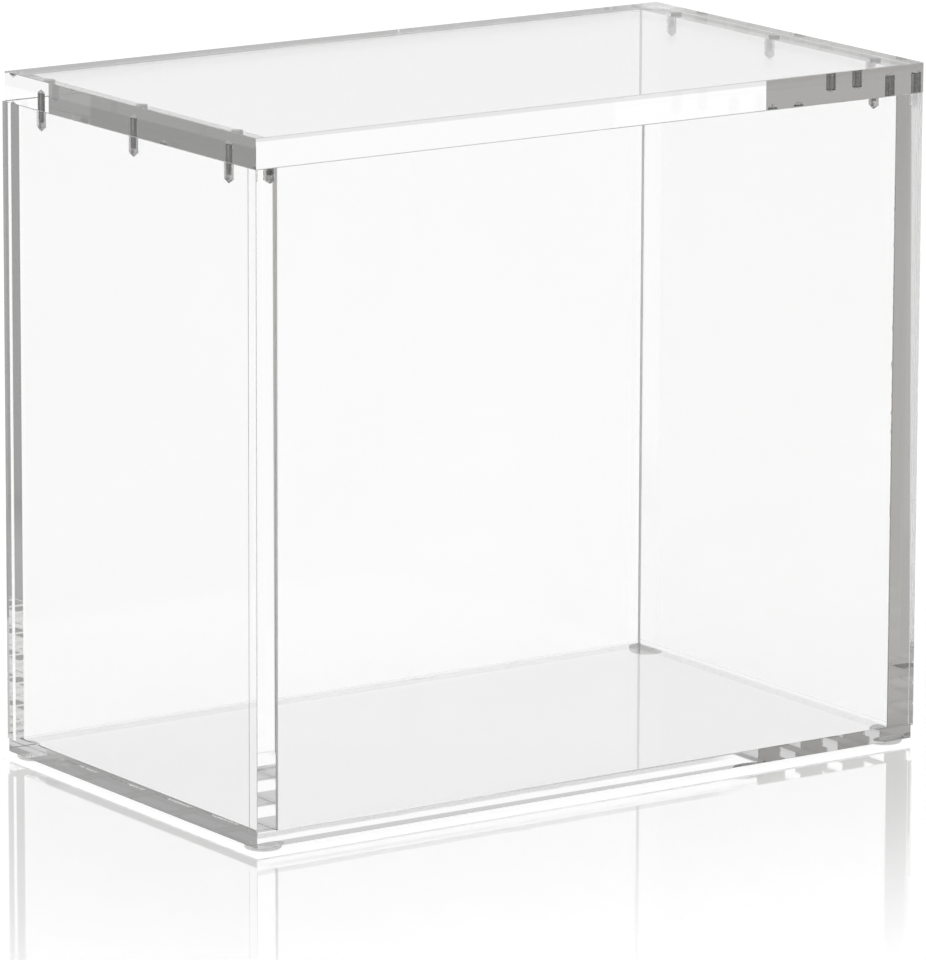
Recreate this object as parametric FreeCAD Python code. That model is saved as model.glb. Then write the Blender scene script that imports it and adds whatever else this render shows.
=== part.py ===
import FreeCAD, Part
import math
import os

# A clear sheet-plastic storage box with a loose lid. All sizes are in millimetres.
# The origin is on the ground under the middle of the box. +X is to the right along
# the front, +Y to the back and +Z up.

# Case
case_width = 292.0
case_depth = 170.0
wall_height = 239.3
base_thickness = 4.9
side_thickness = 10.05
face_thickness = 5.0  # front and back panels
edge_ease = 0.2  # flat along the outer edges at the front and on the left
joint_bevel = 1.0  # each side of the groove down the back left joint
joint_ease = 0.3  # flat along the side panels' upright edges at the front joints
base_setback = 1.2  # the base stops this far short of the right and back faces

# Lid
lid_thickness = 11.2
lid_setback = 2.0  # the lid stops this far short of the back face
lid_seat_gap = 0.1  # the lid lies dry on the walls

# Locating pins, fixed in the lid and loose in the side panels
pins_per_side = 3
pin_diameter = 4.2
pin_below_lid = 5.0
left_pin_cover = 3.9  # lid left above the point of a pin's hole, on the left
right_pin_cover = 4.6  # and on the right
pin_end_chamfer = 0.4
pin_offset = 1.0  # from the side panel's middle line, towards the inside
pin_end_margin = 21.3  # from the lid's front or back edge to the nearest pin
pin_clearance = 0.6  # between a pin and the wall of its hole in the side panel
pin_end_clearance = 1.6  # between a pin's end and the end of that hole's round wall
drill_point_angle = 118.0

# Feet
foot_diameter = 13.5
foot_height = 1.8
foot_edge_radius = 0.8
foot_margin = 0.1  # from a foot's rim to the eased edges of the base


def point_length(radius):
    """How far a drill's point reaches past the end of the round wall."""
    return radius / math.tan(math.radians(drill_point_angle / 2))


# Levels and places that follow from the sizes above
base_top = foot_height + base_thickness
wall_top = base_top + wall_height
lid_bottom = wall_top + lid_seat_gap
lid_top = lid_bottom + lid_thickness
right = case_width / 2
back = case_depth / 2
inner_right = right - side_thickness
inner_back = back - face_thickness
foot_inset = edge_ease + foot_margin + foot_diameter / 2
base_right = right - base_setback
base_back = back - base_setback
pin_radius = pin_diameter / 2
pin_cover = {"left": left_pin_cover, "right": right_pin_cover}
pin_in_lid = {side: lid_thickness - pin_cover[side] - point_length(pin_radius) for side in pin_cover}
pin_x = right - side_thickness / 2 - pin_offset
lid_middle = -lid_setback / 2
pin_reach = case_depth - lid_setback - 2 * pin_end_margin
pin_row = [lid_middle + pin_reach * (i / (pins_per_side - 1) - 0.5) for i in range(pins_per_side)]

SIDES = {"left": -1, "right": 1}
ENDS = {"front": -1, "back": 1}
UP = FreeCAD.Vector(0, 0, 1)


def sheet(low, high):
    """A flat panel between two corners."""
    size = [b - a for a, b in zip(low, high)]
    return Part.makeBox(*size, FreeCAD.Vector(*low))


def upright(edge):
    """True for an edge that runs along Z."""
    return edge.BoundBox.ZLength > edge.BoundBox.XLength + edge.BoundBox.YLength


def at_front_or_left(edge):
    """True for an edge that lies along the front face or the left face of the box."""
    box = edge.BoundBox
    return box.YMax < -inner_back or box.XMax < -inner_right


def at_groove(edge):
    """True for an upright edge of a panel at the outer end of the back left joint."""
    centre = edge.CenterOfMass
    at_joint = abs(centre.y - inner_back) < edge_ease
    return upright(edge) and at_joint and centre.x < -right + edge_ease


def eased(panel, edges, width=edge_ease):
    """The panel with a small flat along the given edges."""
    return panel.makeChamfer(width, edges).Solids[0]


def drilled_hole(x, y, mouth, depth, radius, direction):
    """The space a drill leaves: a round wall from the mouth, then the drill's point."""
    axis = UP * direction
    start = FreeCAD.Vector(x, y, mouth)
    wall = Part.makeCylinder(radius, depth, start, axis)
    point = Part.makeCone(radius, 0, point_length(radius), start + axis * depth, axis)
    return wall.fuse(point)


def divided(panel, glued_pieces):
    """The panel with its faces divided along the outlines of the pieces glued to it."""
    pieces_by_source = panel.generalFuse(glued_pieces)[1]
    return pieces_by_source[0][0]


def base_panel():
    """The floor of the box, flush with the walls that stand on it at the front and left."""
    panel = sheet((-right, -back, foot_height), (base_right, base_back, base_top))
    lower_edges = [e for e in panel.Edges if e.BoundBox.ZMax < base_top]
    return eased(panel, [e for e in lower_edges if at_front_or_left(e)])


def side_panel(side):
    """A thick side panel between the front and back panels, with its pins' holes on top."""
    outer, inner = sorted((side * right, side * inner_right))
    panel = sheet((outer, -inner_back, base_top), (inner, inner_back, wall_top))
    front_edges = [e for e in panel.Edges if upright(e) and e.CenterOfMass.y < 0]
    panel = eased(panel, front_edges, joint_ease)
    groove_edges = [e for e in panel.Edges if at_groove(e)]
    if groove_edges:
        panel = eased(panel, groove_edges, joint_bevel)
    depth = pin_below_lid - lid_seat_gap + pin_end_clearance
    radius = pin_radius + pin_clearance
    holes = [drilled_hole(side * pin_x, y, wall_top, depth, radius, -1) for y in pin_row]
    return panel.cut(holes).Solids[0]


def face_panel(end):
    """A thin panel over the ends of the side panels, at the front or the back."""
    near, far = sorted((end * back, end * inner_back))
    panel = sheet((-right, near, base_top), (right, far, wall_top))
    middle = (back + inner_back) / 2
    corner_edges = [e for e in panel.Edges if upright(e) and abs(e.CenterOfMass.y) > middle]
    panel = eased(panel, corner_edges)
    groove_edges = [e for e in panel.Edges if at_groove(e)]
    return eased(panel, groove_edges, joint_bevel) if groove_edges else panel


def lid_panel():
    """The loose lid, with a blind hole for each pin on its underside."""
    panel = sheet((-right, -back, lid_bottom), (right, back - lid_setback, lid_top))
    panel = eased(panel, [e for e in panel.Edges if at_front_or_left(e) and not upright(e)])
    places = [(name, sign * pin_x, y) for name, sign in SIDES.items() for y in pin_row]
    holes = [drilled_hole(x, y, lid_bottom, pin_in_lid[name], pin_radius, 1) for name, x, y in places]
    return panel.cut(holes).Solids[0]


def lid_pin(x, y, in_lid):
    """A steel dowel with chamfered ends."""
    low = FreeCAD.Vector(x, y, lid_bottom - pin_below_lid)
    pin = Part.makeCylinder(pin_radius, pin_below_lid + in_lid, low, UP)
    ends = [e for e in pin.Edges if e.BoundBox.ZLength < pin_end_chamfer]
    return pin.makeChamfer(pin_end_chamfer, ends).Solids[0]


def foot(x, y):
    """A round pad with a rounded lower edge."""
    pad = Part.makeCylinder(foot_diameter / 2, foot_height, FreeCAD.Vector(x, y, 0), UP)
    lower_edge = [e for e in pad.Edges if e.BoundBox.ZMax < foot_height / 2]
    return pad.makeFillet(foot_edge_radius, lower_edge).Solids[0]


sides = {name: side_panel(sign) for name, sign in SIDES.items()}
faces = {name: face_panel(sign) for name, sign in ENDS.items()}
foot_x = {"left": foot_inset - right, "right": base_right - foot_inset}
foot_y = {"front": foot_inset - back, "back": base_back - foot_inset}
feet = {f"foot_{end}_{side}": foot(foot_x[side], foot_y[end]) for end in ENDS for side in SIDES}

base = base_panel()
shapes = {f"{name}_side_panel": divided(panel, [base]) for name, panel in sides.items()}
for name, panel in faces.items():
    shapes[f"{name}_panel"] = divided(panel, [base] + list(sides.values()))
standing_on_base = list(sides.values()) + list(faces.values())
shapes["base_panel"] = divided(base, standing_on_base + list(feet.values()))
shapes["lid_panel"] = lid_panel()
for name, sign in SIDES.items():
    for number, y in enumerate(pin_row, start=1):
        shapes[f"{name}_lid_pin_{number}"] = lid_pin(sign * pin_x, y, pin_in_lid[name])
shapes.update(feet)

os.makedirs("parts", exist_ok=True)
for node, shape in shapes.items():
    shape.exportStep(f"parts/{node}.step")
    print(node, shape.ShapeType, "valid" if shape.isValid() else "INVALID", round(shape.Volume, 1))
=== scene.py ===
import math

import bpy
from mathutils import Matrix, Vector


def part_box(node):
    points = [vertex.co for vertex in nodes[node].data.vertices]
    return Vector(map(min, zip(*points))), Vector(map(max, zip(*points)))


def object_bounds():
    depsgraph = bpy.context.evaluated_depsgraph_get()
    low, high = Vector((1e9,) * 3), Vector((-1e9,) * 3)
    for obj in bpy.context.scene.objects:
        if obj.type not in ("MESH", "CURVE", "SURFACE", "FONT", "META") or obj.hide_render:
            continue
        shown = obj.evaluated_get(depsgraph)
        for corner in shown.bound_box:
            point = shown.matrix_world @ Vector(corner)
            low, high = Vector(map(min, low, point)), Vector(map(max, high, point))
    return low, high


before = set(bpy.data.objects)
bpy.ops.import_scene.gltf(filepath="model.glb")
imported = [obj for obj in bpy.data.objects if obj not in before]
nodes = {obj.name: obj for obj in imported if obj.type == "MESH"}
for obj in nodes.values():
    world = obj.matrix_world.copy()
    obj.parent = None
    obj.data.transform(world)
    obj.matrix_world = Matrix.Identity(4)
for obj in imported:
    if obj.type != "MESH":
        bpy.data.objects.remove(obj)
cad_low, cad_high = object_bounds()

# All lengths are in metres, and all colours are shares of red, green and blue.
WHITE = (1.0, 1.0, 1.0)
MIX_COLOUR_INPUTS = (6, 7)  # where a mix node has its colours, after its numbers and vectors
MIX_COLOUR_OUTPUT = 2

# Camera, found by fitting the corners of the box to the photograph
PHOTO_HEIGHT_PX = 960
FOCAL_LENGTH_PX = 8186.5
SENSOR_MM = 36.0
CAMERA_YAW = math.radians(34.405)  # to the right of straight ahead
CAMERA_PITCH = math.radians(12.425)  # below level
CAMERA_ROLL = math.radians(0.204)
CAMERA_DISTANCE = 3.0203
CAMERA_AIM = Vector((-0.00314, -0.00453, 0.10367))

# Sky and cards. Each ramp gives a grey at each of some heights, in degrees above the horizon.
SKY_REFLECTED = ((-1.0, 1.0), (1.0, 0.80), (10.5, 0.82), (13.0, 0.88))
SKY_IN_EDGES = ((-1.0, 1.0), (1.0, 0.92), (10.5, 0.92), (12.5, 0.62))  # for light led along inside a panel
BACK_CARD = (
    (-14.25, 0.29), (-13.95, 0.385), (-13.0, 0.40), (-10.8, 0.40), (-10.0, 0.36), (-1.0, 0.36),
    (1.0, 0.33), (11.0, 0.33), (13.0, 0.36), (13.95, 0.37), (14.25, 0.28),
)
FRONT_CARD = ((-1.0, 0.24), (1.0, 0.30), (12.8, 0.30), (13.3, 0.70), (14.2, 0.70), (14.4, 0.30))
BACK_CARD_TINT = (1.0, 0.978, 0.940)
FRONT_CARD_TINT = (1.0, 0.99, 0.98)
BACK_CARD_AT = -CAMERA_YAW  # turned this far from straight behind the box, towards the right
FRONT_CARD_AT = math.pi - CAMERA_YAW
CARD_HALF_WIDTH = math.radians(38)
CARD_SOFTNESS = math.radians(8)
OVERHEAD_GREY = 1.15
OVERHEAD_FROM = (math.sin(math.radians(28)), math.sin(math.radians(45)))  # it comes in between these heights

# Lamp
LAMP_POWER = 8
LAMP_SIZE = 2.0
LAMP_HEIGHT = 2.0
LIGHT_BOUNCES = 64  # enough for light that is led along inside a panel

# Floor
FLOOR_SIZE = 12.0
FLOOR_LEVEL = -0.0002  # just clear of the pads, which would share a face with it
CORNERS = ((-1, -1), (1, -1), (1, 1), (-1, 1))
FLOOR_GLOW = 0.93  # the part of the floor's white that no shadow takes away
FLOOR_PAPER = 0.12  # the part that the lights give it
FLOOR_MIRROR = 0.54  # share of the floor's light that is reflection, next to the box
FLOOR_MIRROR_ROUGHNESS = 0.04
FLOOR_MIRROR_REACH = 0.30  # the reflection fades out over this distance
FLOOR_MIRROR_FROM_SIDE = (0.0026, 0.0037)  # it starts here, beside the left and right
FLOOR_MIRROR_FROM_FRONT = (0.0042, 0.0055)  # and here, before the front and behind the back
FLOOR_NEAR_PAINTED_SHADOW = 0.34  # a painted shadow on the floor beside the box: a grey glow that stands in for its shade, as the edges of the base show it
FLOOR_UNDER_PAINTED_SHADOW = 0.38  # and the painted shadow under the box
FLOOR_UNDER_SHADOW_END = (0.001, 0.003)  # the painted shadow under the box gives way to the other here
FLOOR_NEAR_SHADOW_REACH = (0.06, 0.12)  # the painted shadow beside the box fades out between these distances from it
MARK_HEIGHT = 0.00002  # between the clear sheets over the floor that mark the rays it reflects
MARK_SHEETS = 8
MARK_SIZE = 1.0

# Acrylic
ACRYLIC_IOR = 1.505
NOISE_SPAN = (0.3, 0.7)  # what a noise mostly keeps to
CLOUD_SCALE = 14.0
CLOUD_COLOURS = (0.992, 0.993, 0.992), WHITE
SMUDGE_SCALE = 40.0
SMUDGE_DETAIL = 4.0
SMUDGE_SPAN = (0.70, 0.80)  # only the peaks of the noise are smudges
SMUDGE_ROUGHNESS = 0.05
WAVE_SCALE = 25.0  # waves across a metre of sheet
WAVE_DEPTH = 0.000002
TOUCH = 0.00005  # faces nearer than this count as glued
FACING = 0.95  # a face whose normal has this much along an axis faces along it
GROOVE_REACH = 0.0011  # the groove down the back left joint, from the joint's outer end
SEAM_TINT = 0.90  # what the glue under a wall lets through next to the inside of the box
SEAM_REACH = 0.0045  # the glue is clear from here outwards

# Scraped and drilled acrylic
MATT_GREYS = (0.56, 0.555, 0.545), (0.68, 0.675, 0.665)
MATT_GRAIN = 300.0
MATT_ROUGHNESS = 0.55
MATT_CLEARNESS = 0.5
BORE_REACH = 0.0028  # from a pin's axis to just outside its hole in a side panel
BORE_GREYS = (0.55, 0.55, 0.54), (0.65, 0.65, 0.64)
BORE_GRAIN = 900.0
BORE_ROUGHNESS = (0.25, 0.35)
BORE_CLEARNESS = 0.9
BORE_RING_PITCH = 0.0006
BORE_RING_DEPTH = 0.00002
PIN_REACH = 0.00215  # from a pin's axis to just outside its hole in the lid
POINT_GREYS = (0.43, 0.425, 0.415), (0.53, 0.525, 0.515)
POINT_GRAIN = 1500.0
POINT_ROUGHNESS = 0.6
POINT_CLEARNESS = 0.2

# Glue left on the inside of the front panel
GLUE_GREY = (0.60, 0.595, 0.585)
GLUE_ROUGHNESS = 0.5
GLUE_CLEARNESS = 0.35
GLUE_LINE = (0.0006, 0.00078)  # the line along the left joint ends between these widths
GLUE_BEADS = 0.0009  # greatest width of the beads along the right joint
GLUE_BEADS_FROM, GLUE_BEADS_TO = 0.0725, 0.219  # heights
GLUE_BEADS_FADE = 0.01
GLUE_BEADS_SCALE = 420.0
GLUE_BEADS_SPAN = (0.45, 0.75)

# Bead of glue down the back right joint
BEAD_WHITE = (1.0, 1.0, 0.995)
BEAD_ROUGHNESS = 0.4
BEAD_CLEARNESS = 0.15
BEAD_WIDTH = 0.0016
BEAD_SOFTNESS = 0.0003
BEAD_WANDER = 0.0001
BEAD_WANDER_SCALE = 90.0

# Scraped strip along the joint of base and front panel
JOINT_GREY = (0.55, 0.55, 0.55)
JOINT_ROUGHNESS = 0.06
JOINT_BELOW, JOINT_ABOVE = 0.0011, 0.0007  # its reach from the joint
JOINT_SOFT_BELOW, JOINT_SOFT_ABOVE = 0.0002, 0.0001
JOINT_WANDER = 0.00015
JOINT_WANDER_SCALE = 60.0
JOINT_ENDS = (0.050, 0.066)  # it runs out here, towards the right

# Rubbed strip down the front right joint
SATIN_WHITE = (0.97, 0.965, 0.955)
SATIN_ROUGHNESS = 0.25
SATIN_ALPHA = 0.66
SATIN_LOW, SATIN_HIGH = 0.040, 0.240  # heights
SATIN_REACH_LOW, SATIN_REACH_HIGH = 0.0050, 0.0120  # how far back from the front face, at those heights
SATIN_SOFTNESS = 0.0012
SATIN_FADE = 0.004

# Steel
STEEL_GREYS = (0.22, 0.22, 0.215), (0.27, 0.27, 0.265)
STEEL_GRAIN = 2500.0
STEEL_ROUGHNESS = (0.24, 0.38)

# Pads
PAD_GREYS = (0.66, 0.66, 0.65), (0.74, 0.74, 0.73)
PAD_GRAIN = 500.0
PAD_ROUGHNESS = (0.28, 0.40)
PAD_CLEARNESS = 0.2
FINE_DETAIL = 3.0  # of the noises that show the grain of steel and pads and the wander of glue

BOX = {name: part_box(name) for name in nodes}
PANELS = ("base_panel", "left_side_panel", "right_side_panel", "front_panel", "back_panel")
PINS = tuple(n for n in nodes if "_lid_pin_" in n)
FEET = tuple(n for n in nodes if n.startswith("foot_"))
STUCK_FEET = tuple(n for n in FEET if n.endswith("_right"))  # the others touch dry, and no edge shows them


def new_material(name):
    """An empty node material and its output."""
    material = bpy.data.materials.new(name)
    material.use_nodes = True
    tree = material.node_tree
    tree.nodes.clear()
    output = tree.nodes.new("ShaderNodeOutputMaterial")
    return material, tree, output


def put(tree, value, socket):
    """Sets a socket to a colour or a number, or links an output to it."""
    if isinstance(value, tuple):
        socket.default_value = (*value, 1.0)
    elif isinstance(value, (int, float)):
        socket.default_value = value
    else:
        tree.links.new(value, socket)


def maths(tree, operation, *values):
    """A math node with its inputs set or linked, as its output."""
    node = tree.nodes.new("ShaderNodeMath")
    node.operation = operation
    for socket, value in zip(node.inputs, values):
        put(tree, value, socket)
    return node.outputs[0]


def at_least(tree, depth, count):
    """1 where a ray's depth is the count or more, and 0 elsewhere."""
    return maths(tree, "GREATER_THAN", depth, count - 0.5)


def map_value(tree, value, low, high, out_low, out_high, kind="LINEAR"):
    """A value's map between two ranges, held at the ends: a straight line unless another kind is given."""
    node = tree.nodes.new("ShaderNodeMapRange")
    node.interpolation_type = kind
    names = ("Value", "From Min", "From Max", "To Min", "To Max")
    for name, setting in zip(names, (value, low, high, out_low, out_high)):
        put(tree, setting, node.inputs[name])
    return node.outputs[0]


def smooth_step(tree, value, low, high, out_low, out_high):
    """A value's map between two ranges, eased in and out."""
    return map_value(tree, value, low, high, out_low, out_high, "SMOOTHSTEP")


def soft_step(tree, value, at, softness, before, after):
    """A step at a value, softened this far to either side of it."""
    return smooth_step(tree, value, at - softness, at + softness, before, after)


def mix_colours(tree, share, first, second):
    """A mix of two colours, each a triple or an output, by an output."""
    node = tree.nodes.new("ShaderNodeMix")
    node.data_type = "RGBA"
    tree.links.new(share, node.inputs["Factor"])
    for place, colour in zip(MIX_COLOUR_INPUTS, (first, second)):
        put(tree, colour, node.inputs[place])
    return node.outputs[MIX_COLOUR_OUTPUT]


def mix_shaders(tree, share, first, second):
    """A mix of two shader outputs by an output."""
    node = tree.nodes.new("ShaderNodeMixShader")
    for value, socket in zip((share, first, second), node.inputs):
        tree.links.new(value, socket)
    return node.outputs[0]


def split_place(tree, place):
    """The x, y and z of a place."""
    split = tree.nodes.new("ShaderNodeSeparateXYZ")
    tree.links.new(place, split.inputs[0])
    return tuple(split.outputs)


def own_place(tree):
    """The place on the object, which stays with it when it moves."""
    return tree.nodes.new("ShaderNodeTexCoord").outputs["Object"]


def noise(tree, place, scale, detail=2.0):
    """A noise over a place, as its output."""
    node = tree.nodes.new("ShaderNodeTexNoise")
    node.inputs["Scale"].default_value = scale
    node.inputs["Detail"].default_value = detail
    tree.links.new(place, node.inputs["Vector"])
    return node.outputs[0]


def wander(tree, place, scale, reach):
    """A small uneven shift to either side."""
    return map_value(tree, noise(tree, place, scale, FINE_DETAIL), *NOISE_SPAN, -reach, reach)


def principled(tree, output, colour, roughness, transmission):
    """A principled shader; each setting is a fixed value or an output."""
    shader = tree.nodes.new("ShaderNodeBsdfPrincipled")
    shader.inputs["IOR"].default_value = ACRYLIC_IOR
    put(tree, colour, shader.inputs["Base Color"])
    put(tree, roughness, shader.inputs["Roughness"])
    put(tree, transmission, shader.inputs["Transmission Weight"])
    tree.links.new(shader.outputs[0], output.inputs["Surface"])
    return shader


def transparent(tree, colour=WHITE):
    """A shader that lets light straight through, as its output."""
    shader = tree.nodes.new("ShaderNodeBsdfTransparent")
    put(tree, colour, shader.inputs["Color"])
    return shader.outputs[0]


def emission(tree, colour=WHITE, strength=1.0):
    """A glow, as its output."""
    shader = tree.nodes.new("ShaderNodeEmission")
    put(tree, colour, shader.inputs["Color"])
    put(tree, strength, shader.inputs["Strength"])
    return shader.outputs[0]


def add_bump(tree, shader, height, distance):
    """Gives a shader's surface bumps of a height times a distance."""
    node = tree.nodes.new("ShaderNodeBump")
    node.inputs["Distance"].default_value = distance
    tree.links.new(height, node.inputs["Height"])
    tree.links.new(node.outputs[0], shader.inputs["Normal"])


def polish(tree, place):
    """The colour and roughness of polished sheet: faint cloudiness and a few soft smudges."""
    cloud = map_value(tree, noise(tree, place, CLOUD_SCALE), *NOISE_SPAN, 0.0, 1.0)
    colour = mix_colours(tree, cloud, *CLOUD_COLOURS)
    smudge = noise(tree, place, SMUDGE_SCALE, SMUDGE_DETAIL)
    return colour, map_value(tree, smudge, *SMUDGE_SPAN, 0.0, SMUDGE_ROUGHNESS)


def polished_material():
    """Polished clear sheet, with a faint waviness."""
    material, tree, output = new_material("acrylic_polished")
    place = own_place(tree)
    colour, roughness = polish(tree, place)
    shader = principled(tree, output, colour, roughness, 1.0)
    add_bump(tree, shader, noise(tree, place, WAVE_SCALE), WAVE_DEPTH)
    return material


def masked_material(name, mask, grey, roughness, clearness, alpha=1.0):
    """Polished sheet with another finish where mask(tree, place) is 1."""
    material, tree, output = new_material(name)
    place = own_place(tree)
    colour, smudge = polish(tree, place)
    share = mask(tree, place)
    colour = mix_colours(tree, share, colour, grey)
    roughness = maths(tree, "MAXIMUM", smudge, map_value(tree, share, 0.0, 1.0, 0.0, roughness))
    transmission = map_value(tree, share, 0.0, 1.0, 1.0, clearness)
    shader = principled(tree, output, colour, roughness, transmission)
    if alpha < 1.0:
        tree.links.new(map_value(tree, share, 0.0, 1.0, 1.0, alpha), shader.inputs["Alpha"])
    return material


def glue_mask(tree, place):
    """Glue on the inside of the front panel: a line along the left joint, beads along the right one."""
    x, y, z = split_place(tree, place)
    inner = BOX["right_side_panel"][0].x
    line = map_value(tree, x, *(width - inner for width in GLUE_LINE), 1.0, 0.0)
    uneven = noise(tree, place, GLUE_BEADS_SCALE, FINE_DETAIL)
    width = map_value(tree, uneven, *GLUE_BEADS_SPAN, 0.0, GLUE_BEADS)
    low = map_value(tree, z, GLUE_BEADS_FROM, GLUE_BEADS_FROM + GLUE_BEADS_FADE, 0.0, 1.0)
    high = map_value(tree, z, GLUE_BEADS_TO - GLUE_BEADS_FADE, GLUE_BEADS_TO, 1.0, 0.0)
    width = maths(tree, "MULTIPLY", width, maths(tree, "MULTIPLY", low, high))
    beads = maths(tree, "LESS_THAN", maths(tree, "SUBTRACT", inner, x), width)
    return maths(tree, "MAXIMUM", line, beads)


def satin_mask(tree, place):
    """The right faces next to the front joint, rubbed down in a strip that widens upwards."""
    x, y, z = split_place(tree, place)
    reach = map_value(tree, z, SATIN_LOW, SATIN_HIGH, SATIN_REACH_LOW, SATIN_REACH_HIGH)
    depth = maths(tree, "SUBTRACT", y, BOX["front_panel"][0].y)
    past = maths(tree, "SUBTRACT", depth, reach)
    across = soft_step(tree, past, 0.0, SATIN_SOFTNESS, 1.0, 0.0)
    upwards = smooth_step(tree, z, SATIN_LOW - SATIN_FADE, SATIN_LOW, 0.0, 1.0)
    return maths(tree, "MULTIPLY", across, upwards)


def joint_mask(tree, place):
    """The joint between the base and the front panel, scraped flush in an uneven strip."""
    x, y, z = split_place(tree, place)
    height = maths(tree, "SUBTRACT", z, BOX["base_panel"][1].z)
    height = maths(tree, "ADD", height, wander(tree, place, JOINT_WANDER_SCALE, JOINT_WANDER))
    low = soft_step(tree, height, -JOINT_BELOW, JOINT_SOFT_BELOW, 0.0, 1.0)
    high = soft_step(tree, height, JOINT_ABOVE, JOINT_SOFT_ABOVE, 1.0, 0.0)
    strip = maths(tree, "MULTIPLY", low, high)
    return maths(tree, "MULTIPLY", strip, smooth_step(tree, x, *JOINT_ENDS, 1.0, 0.0))


def bead_mask(tree, place):
    """A cloudy bead of glue down the back right joint, inside."""
    x, y, z = split_place(tree, place)
    gap = maths(tree, "SUBTRACT", BOX["back_panel"][0].y, y)
    gap = maths(tree, "ADD", gap, wander(tree, place, BEAD_WANDER_SCALE, BEAD_WANDER))
    return soft_step(tree, gap, BEAD_WIDTH, BEAD_SOFTNESS, 1.0, 0.0)


def bored_material():
    """The walls of the pins' holes in the side panels, left satin and ringed by the drill."""
    material, tree, output = new_material("acrylic_bored")
    place = own_place(tree)
    x, y, z = split_place(tree, place)
    rings = maths(tree, "SINE", maths(tree, "MULTIPLY", z, 2 * math.pi / BORE_RING_PITCH))
    colour = mix_colours(tree, noise(tree, place, BORE_GRAIN), *BORE_GREYS)
    roughness = map_value(tree, rings, -1.0, 1.0, *BORE_ROUGHNESS)
    shader = principled(tree, output, colour, roughness, BORE_CLEARNESS)
    add_bump(tree, shader, rings, BORE_RING_DEPTH)
    return material


def point_material():
    """The drill points in the lid, matt and grey."""
    material, tree, output = new_material("acrylic_drill_point")
    colour = mix_colours(tree, noise(tree, own_place(tree), POINT_GRAIN), *POINT_GREYS)
    principled(tree, output, colour, POINT_ROUGHNESS, POINT_CLEARNESS)
    return material


def matt_material():
    """The scraped edges, matt in the clear sheet."""
    material, tree, output = new_material("acrylic_matt")
    colour = mix_colours(tree, noise(tree, own_place(tree), MATT_GRAIN), *MATT_GREYS)
    principled(tree, output, colour, MATT_ROUGHNESS, MATT_CLEARNESS)
    return material


def clear_material(name):
    """Quite clear, as if nothing were there."""
    material, tree, output = new_material(name)
    tree.links.new(transparent(tree), output.inputs["Surface"])
    return material


def seam_material():
    """The glue between the base and the walls, which shows next to the inside of the box."""
    material, tree, output = new_material("acrylic_seam")
    x, y, z = split_place(tree, own_place(tree))
    corner = BOX["right_side_panel"][0].x, BOX["back_panel"][0].y
    beyond = [maths(tree, "SUBTRACT", maths(tree, "ABSOLUTE", c), edge) for c, edge in zip((x, y), corner)]
    depth = maths(tree, "MAXIMUM", *beyond)
    share = smooth_step(tree, depth, 0.0, SEAM_REACH, 0.0, 1.0)
    colour = mix_colours(tree, share, (SEAM_TINT,) * 3, WHITE)
    tree.links.new(transparent(tree, colour), output.inputs["Surface"])
    return material


def steel_material():
    """Ground steel dowel."""
    material, tree, output = new_material("pin_steel")
    grain = noise(tree, own_place(tree), STEEL_GRAIN, FINE_DETAIL)
    colour = mix_colours(tree, grain, *STEEL_GREYS)
    shader = principled(tree, output, colour, map_value(tree, grain, *NOISE_SPAN, *STEEL_ROUGHNESS), 0.0)
    shader.inputs["Metallic"].default_value = 1.0
    return material


def pad_material():
    """Soft plastic, cloudy."""
    material, tree, output = new_material("pad_clear")
    cloud = noise(tree, own_place(tree), PAD_GRAIN, FINE_DETAIL)
    colour = mix_colours(tree, cloud, *PAD_GREYS)
    principled(tree, output, colour, map_value(tree, cloud, *NOISE_SPAN, *PAD_ROUGHNESS), PAD_CLEARNESS)
    return material


glued = clear_material("acrylic_glued")
ACRYLIC = (
    polished_material(),
    glued,
    bored_material(),
    matt_material(),
    point_material(),
    seam_material(),
    masked_material("acrylic_glue_line", glue_mask, GLUE_GREY, GLUE_ROUGHNESS, GLUE_CLEARNESS),
    masked_material("acrylic_satin_joint", satin_mask, SATIN_WHITE, SATIN_ROUGHNESS, 1.0, SATIN_ALPHA),
    masked_material("acrylic_front_joint", joint_mask, JOINT_GREY, JOINT_ROUGHNESS, 1.0),
    masked_material("acrylic_bead", bead_mask, BEAD_WHITE, BEAD_ROUGHNESS, BEAD_CLEARNESS),
)
POLISHED, GLUED, BORED, MATT, POINT, SEAM, GLUE_LINED, SATIN, JOINT, BEAD = range(len(ACRYLIC))


def inside(point, node):
    """True if a point lies in or on a node's box."""
    low, high = BOX[node]
    return all(a - TOUCH <= c <= b + TOUCH for a, c, b in zip(low, point, high))


def axis_distance(point, node):
    """A point's distance from the upright axis through the middle of a node."""
    low, high = BOX[node]
    middle = (low + high) / 2
    return math.hypot(point.x - middle.x, point.y - middle.y)


def under_foot(point, foot):
    """True if a point lies on a foot's round top."""
    low, high = BOX[foot]
    return inside(point, foot) and axis_distance(point, foot) < (high.x - low.x) / 2


def on_eased_edge(polygon):
    """True for a flat along an edge, which faces between two axes, apart from the back left groove."""
    joint = BOX["back_panel"][0]
    centre = polygon.center
    in_groove = centre.x < joint.x + GROOVE_REACH and abs(centre.y - joint.y) < GROOVE_REACH
    return max(abs(c) for c in polygon.normal) < FACING and not in_groove


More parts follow.
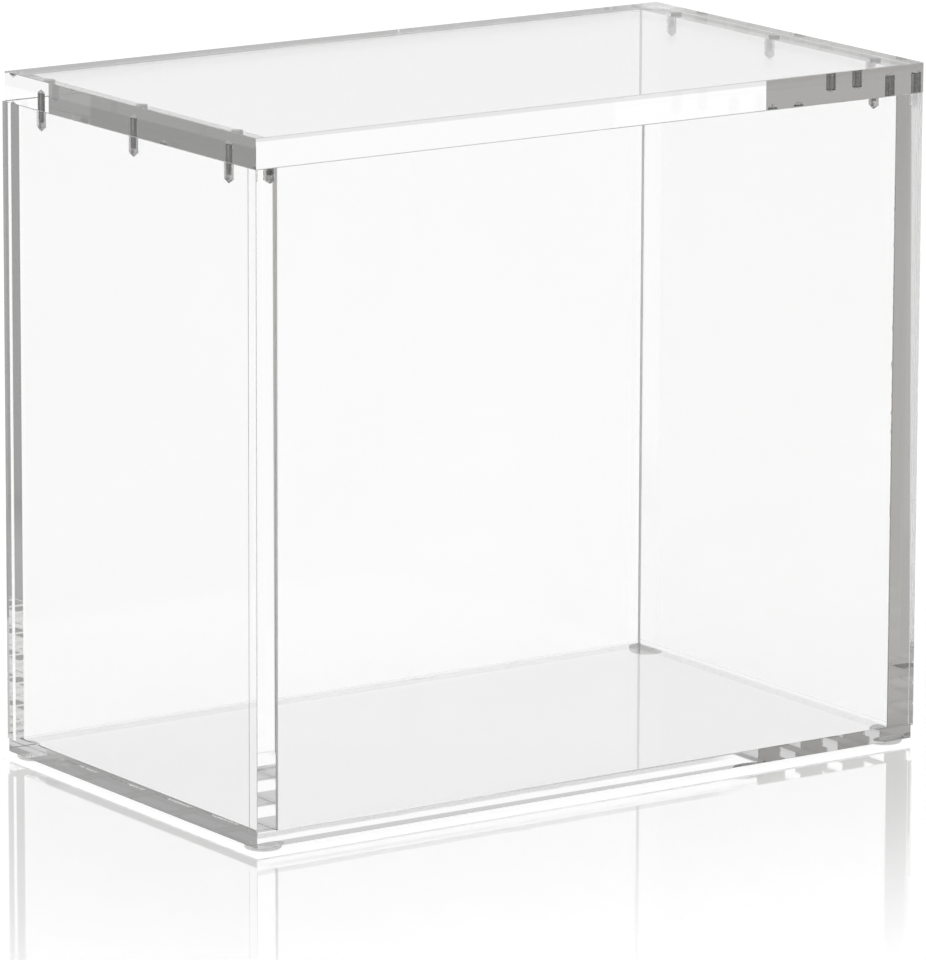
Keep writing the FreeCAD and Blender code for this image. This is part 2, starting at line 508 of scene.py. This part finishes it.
def panel_choice(node):
    """A function that picks the material of a case panel's polygon."""
    wall_top = BOX["front_panel"][1].z

    def choose(polygon):
        centre = polygon.center
        normal = polygon.normal
        for pin in PINS:
            if "side" in node and centre.z < wall_top - TOUCH and axis_distance(centre, pin) < BORE_REACH:
                return BORED
        for other in PANELS:
            if other != node and inside(centre, other):
                return SEAM if "base_panel" in (node, other) else GLUED
        if any(under_foot(centre, foot) for foot in STUCK_FEET):
            return GLUED
        if on_eased_edge(polygon):
            return MATT
        if node in ("front_panel", "base_panel") and normal.y < -FACING:
            return JOINT
        if node == "front_panel" and normal.y > FACING:
            return GLUE_LINED
        if node in ("front_panel", "right_side_panel") and normal.x > FACING:
            return SATIN
        if node == "right_side_panel" and normal.x < -FACING:
            return BEAD
        return POLISHED

    return choose


def lid_choice(polygon):
    """Picks the material of a lid polygon: glued to a pin, drilled above it, scraped or polished."""
    centre = polygon.center
    lid_bottom = BOX["lid_panel"][0].z
    for pin in PINS:
        if centre.z > lid_bottom + TOUCH and axis_distance(centre, pin) < PIN_REACH:
            return GLUED if centre.z < BOX[pin][1].z else POINT
    return MATT if on_eased_edge(polygon) else POLISHED


def pad_choice(node):
    """A function that picks the second material, the clear one, for a pad's top against the base."""
    top = BOX[node][1].z
    return lambda polygon: int(polygon.center.z > top - TOUCH)


def set_materials(node, choices, choose):
    """Gives a node its materials, with choose(polygon) picking each polygon's."""
    mesh = nodes[node].data
    mesh.materials.clear()
    for material in choices:
        mesh.materials.append(material)
    for polygon in mesh.polygons:
        polygon.material_index = choose(polygon)


for node in PANELS:
    set_materials(node, ACRYLIC, panel_choice(node))
set_materials("lid_panel", ACRYLIC, lid_choice)
steel = steel_material()
for node in PINS:
    set_materials(node, (steel,), lambda polygon: 0)
pad = pad_material()
for node in FEET:
    set_materials(node, (pad, glued), pad_choice(node))


def colour_ramp(tree, z, stops, tint=WHITE):
    """A tinted grey by height above the horizon, from stops of degrees and grey."""
    heights = [math.sin(math.radians(degrees)) for degrees, grey in stops]
    reach = heights[-1] - heights[0]
    node = tree.nodes.new("ShaderNodeValToRGB")
    elements = node.color_ramp.elements
    while len(elements) < len(stops):
        elements.new(1.0)
    for element, height, (degrees, grey) in zip(elements, heights, stops):
        element.position = (height - heights[0]) / reach
        element.color = (*(grey * c for c in tint), 1.0)
    place = maths(tree, "DIVIDE", maths(tree, "SUBTRACT", z, heights[0]), reach)
    tree.links.new(place, node.inputs[0])
    return node.outputs[0]


def card_share(tree, azimuth, centre):
    """1 in the directions of a card round a centre, and 0 outside it."""
    turn = maths(tree, "SUBTRACT", azimuth, centre)
    turn = maths(tree, "WRAP", turn, math.pi, -math.pi)
    turn = maths(tree, "ABSOLUTE", turn)
    return soft_step(tree, turn, CARD_HALF_WIDTH, CARD_SOFTNESS, 1.0, 0.0)


def studio_world():
    """White to the camera, with a low sky and a card behind and before the box that only its panels show."""
    world = bpy.data.worlds.new("studio")
    bpy.context.scene.world = world
    world.use_nodes = True
    tree = world.node_tree
    tree.nodes.clear()
    output = tree.nodes.new("ShaderNodeOutputWorld")
    background = tree.nodes.new("ShaderNodeBackground")
    rays = tree.nodes.new("ShaderNodeLightPath")
    x, y, z = split_place(tree, tree.nodes.new("ShaderNodeTexCoord").outputs["Generated"])
    in_edges = at_least(tree, rays.outputs["Glossy Depth"], 2)
    marked = at_least(tree, rays.outputs["Transparent Depth"], 2 * MARK_SHEETS)
    skies = [colour_ramp(tree, z, stops) for stops in (SKY_REFLECTED, SKY_IN_EDGES)]
    colour = mix_colours(tree, in_edges, *skies)
    colour = mix_colours(tree, marked, colour, WHITE)
    azimuth = maths(tree, "ARCTAN2", x, y)
    cards = (BACK_CARD_AT, BACK_CARD, BACK_CARD_TINT), (FRONT_CARD_AT, FRONT_CARD, FRONT_CARD_TINT)
    for centre, stops, tint in cards:
        share = card_share(tree, azimuth, centre)
        colour = mix_colours(tree, share, colour, colour_ramp(tree, z, stops, tint))
    overhead = smooth_step(tree, z, *OVERHEAD_FROM, 0.0, 1.0)
    colour = mix_colours(tree, overhead, colour, (OVERHEAD_GREY,) * 3)
    once = maths(tree, "COMPARE", rays.outputs["Glossy Depth"], 1.0, 0.5)
    from_floor = maths(tree, "MULTIPLY", once, marked)
    plain = maths(tree, "MAXIMUM", from_floor, rays.outputs["Is Camera Ray"])
    colour = mix_colours(tree, plain, colour, WHITE)
    tree.links.new(colour, background.inputs["Color"])
    tree.links.new(background.outputs[0], output.inputs["Surface"])


def beyond_box(tree):
    """How far a place on the floor lies outside the box: along x, along y and in all."""
    place = split_place(tree, tree.nodes.new("ShaderNodeNewGeometry").outputs["Position"])
    beyond = []
    for axis in range(2):
        distance = maths(tree, "ABSOLUTE", place[axis])
        distance = maths(tree, "SUBTRACT", distance, cad_high[axis])
        beyond.append(maths(tree, "MAXIMUM", distance, 0.0))
    squares = [maths(tree, "POWER", distance, 2.0) for distance in beyond]
    away = maths(tree, "SQRT", maths(tree, "ADD", *squares))
    return *beyond, away


def floor_seen(tree, rays, beyond):
    """The floor as the camera sees it: white, with a mirror image of the box that fades away from it."""
    across, along, away = beyond
    paper = tree.nodes.new("ShaderNodeBsdfDiffuse")
    put(tree, (FLOOR_PAPER,) * 3, paper.inputs["Color"])
    white = tree.nodes.new("ShaderNodeAddShader")
    tree.links.new(paper.outputs[0], white.inputs[0])
    tree.links.new(emission(tree, WHITE, FLOOR_GLOW), white.inputs[1])
    mirror = tree.nodes.new("ShaderNodeBsdfGlossy")
    put(tree, WHITE, mirror.inputs["Color"])
    put(tree, FLOOR_MIRROR_ROUGHNESS, mirror.inputs["Roughness"])
    share = smooth_step(tree, away, 0.0, FLOOR_MIRROR_REACH, FLOOR_MIRROR, 0.0)
    from_side = smooth_step(tree, across, *FLOOR_MIRROR_FROM_SIDE, 0.0, 1.0)
    from_front = smooth_step(tree, along, *FLOOR_MIRROR_FROM_FRONT, 0.0, 1.0)
    share = maths(tree, "MULTIPLY", share, maths(tree, "MAXIMUM", from_side, from_front))
    share = maths(tree, "MULTIPLY", share, rays.outputs["Is Camera Ray"])
    return mix_shaders(tree, share, white.outputs[0], mirror.outputs[0])


def floor_in_edges_painted_shadow(tree, beyond):
    """The floor to light led along inside a panel: a painted shadow, a grey glow beside and under the box,
    and clear elsewhere.
    """
    across, along, away = beyond
    beside = smooth_step(tree, across, *FLOOR_UNDER_SHADOW_END, 0.0, 1.0)
    under = smooth_step(tree, away, *FLOOR_UNDER_SHADOW_END, 1.0, 0.0)
    # the painted shadow: a grey glow in place of the box's shade on the floor beside and under it
    grey = mix_colours(tree, under, (FLOOR_NEAR_PAINTED_SHADOW,) * 3, (FLOOR_UNDER_PAINTED_SHADOW,) * 3)
    near = smooth_step(tree, away, *FLOOR_NEAR_SHADOW_REACH, 1.0, 0.0)
    near = maths(tree, "MULTIPLY", near, maths(tree, "MAXIMUM", beside, under))
    return mix_shaders(tree, near, transparent(tree), emission(tree, grey))


def floor_material():
    """White to the camera and to rays the box reflects; to rays led inside a panel, a painted grey shadow
    near the box and clear elsewhere.
    """
    material, tree, output = new_material("floor_white")
    rays = tree.nodes.new("ShaderNodeLightPath")
    beyond = beyond_box(tree)
    reflected = at_least(tree, rays.outputs["Glossy Depth"], 1)
    refracted = at_least(tree, rays.outputs["Transmission Depth"], 1)
    after_reflection = mix_shaders(tree, refracted, emission(tree), floor_in_edges_painted_shadow(tree, beyond))
    surface = mix_shaders(tree, reflected, floor_seen(tree, rays, beyond), after_reflection)
    tree.links.new(surface, output.inputs["Surface"])
    return material


def add_ground(name, size, heights, material):
    """Level squares under the box, as part of the stage."""
    half = size / 2
    corners = [(x * half, y * half, z) for z in heights for x, y in CORNERS]
    faces = [tuple(range(4 * i, 4 * i + 4)) for i in range(len(heights))]
    mesh = bpy.data.meshes.new(name)
    mesh.from_pydata(corners, [], faces)
    mesh.materials.append(material)
    ground = bpy.data.objects.new(name, mesh)
    bpy.context.scene.collection.objects.link(ground)


def add_lamp():
    """A large soft lamp overhead."""
    data = bpy.data.lights.new("overhead", "AREA")
    data.energy = LAMP_POWER
    data.shape = "SQUARE"
    data.size = LAMP_SIZE
    lamp = bpy.data.objects.new("overhead", data)
    lamp.location = (0, 0, LAMP_HEIGHT)
    bpy.context.scene.collection.objects.link(lamp)


def add_camera():
    """The camera at the photograph's angle."""
    data = bpy.data.cameras.new("camera")
    data.sensor_fit = "VERTICAL"
    data.sensor_height = SENSOR_MM
    data.lens = FOCAL_LENGTH_PX / PHOTO_HEIGHT_PX * SENSOR_MM
    camera = bpy.data.objects.new("camera", data)
    bpy.context.scene.collection.objects.link(camera)
    ahead = Vector((math.sin(CAMERA_YAW), math.cos(CAMERA_YAW), 0)) * math.cos(CAMERA_PITCH)
    ahead.z = -math.sin(CAMERA_PITCH)
    turn = Matrix.Rotation(-CAMERA_YAW, 4, "Z") @ Matrix.Rotation(math.pi / 2 - CAMERA_PITCH, 4, "X")
    turn = turn @ Matrix.Rotation(CAMERA_ROLL, 4, "Z")
    camera.matrix_world = Matrix.Translation(CAMERA_AIM - ahead * CAMERA_DISTANCE) @ turn
    bpy.context.scene.camera = camera


studio_world()
add_ground("floor", FLOOR_SIZE, [FLOOR_LEVEL], floor_material())
mark_heights = [FLOOR_LEVEL + MARK_HEIGHT * (i + 1) for i in range(MARK_SHEETS)]
add_ground("floor_mark", MARK_SIZE, mark_heights, clear_material("floor_mark"))
add_lamp()
add_camera()

scene = bpy.context.scene
scene.view_settings.view_transform = "Standard"
scene.cycles.max_bounces = LIGHT_BOUNCES
scene.cycles.glossy_bounces = LIGHT_BOUNCES
scene.cycles.transmission_bounces = LIGHT_BOUNCES
scene.cycles.transparent_max_bounces = LIGHT_BOUNCES
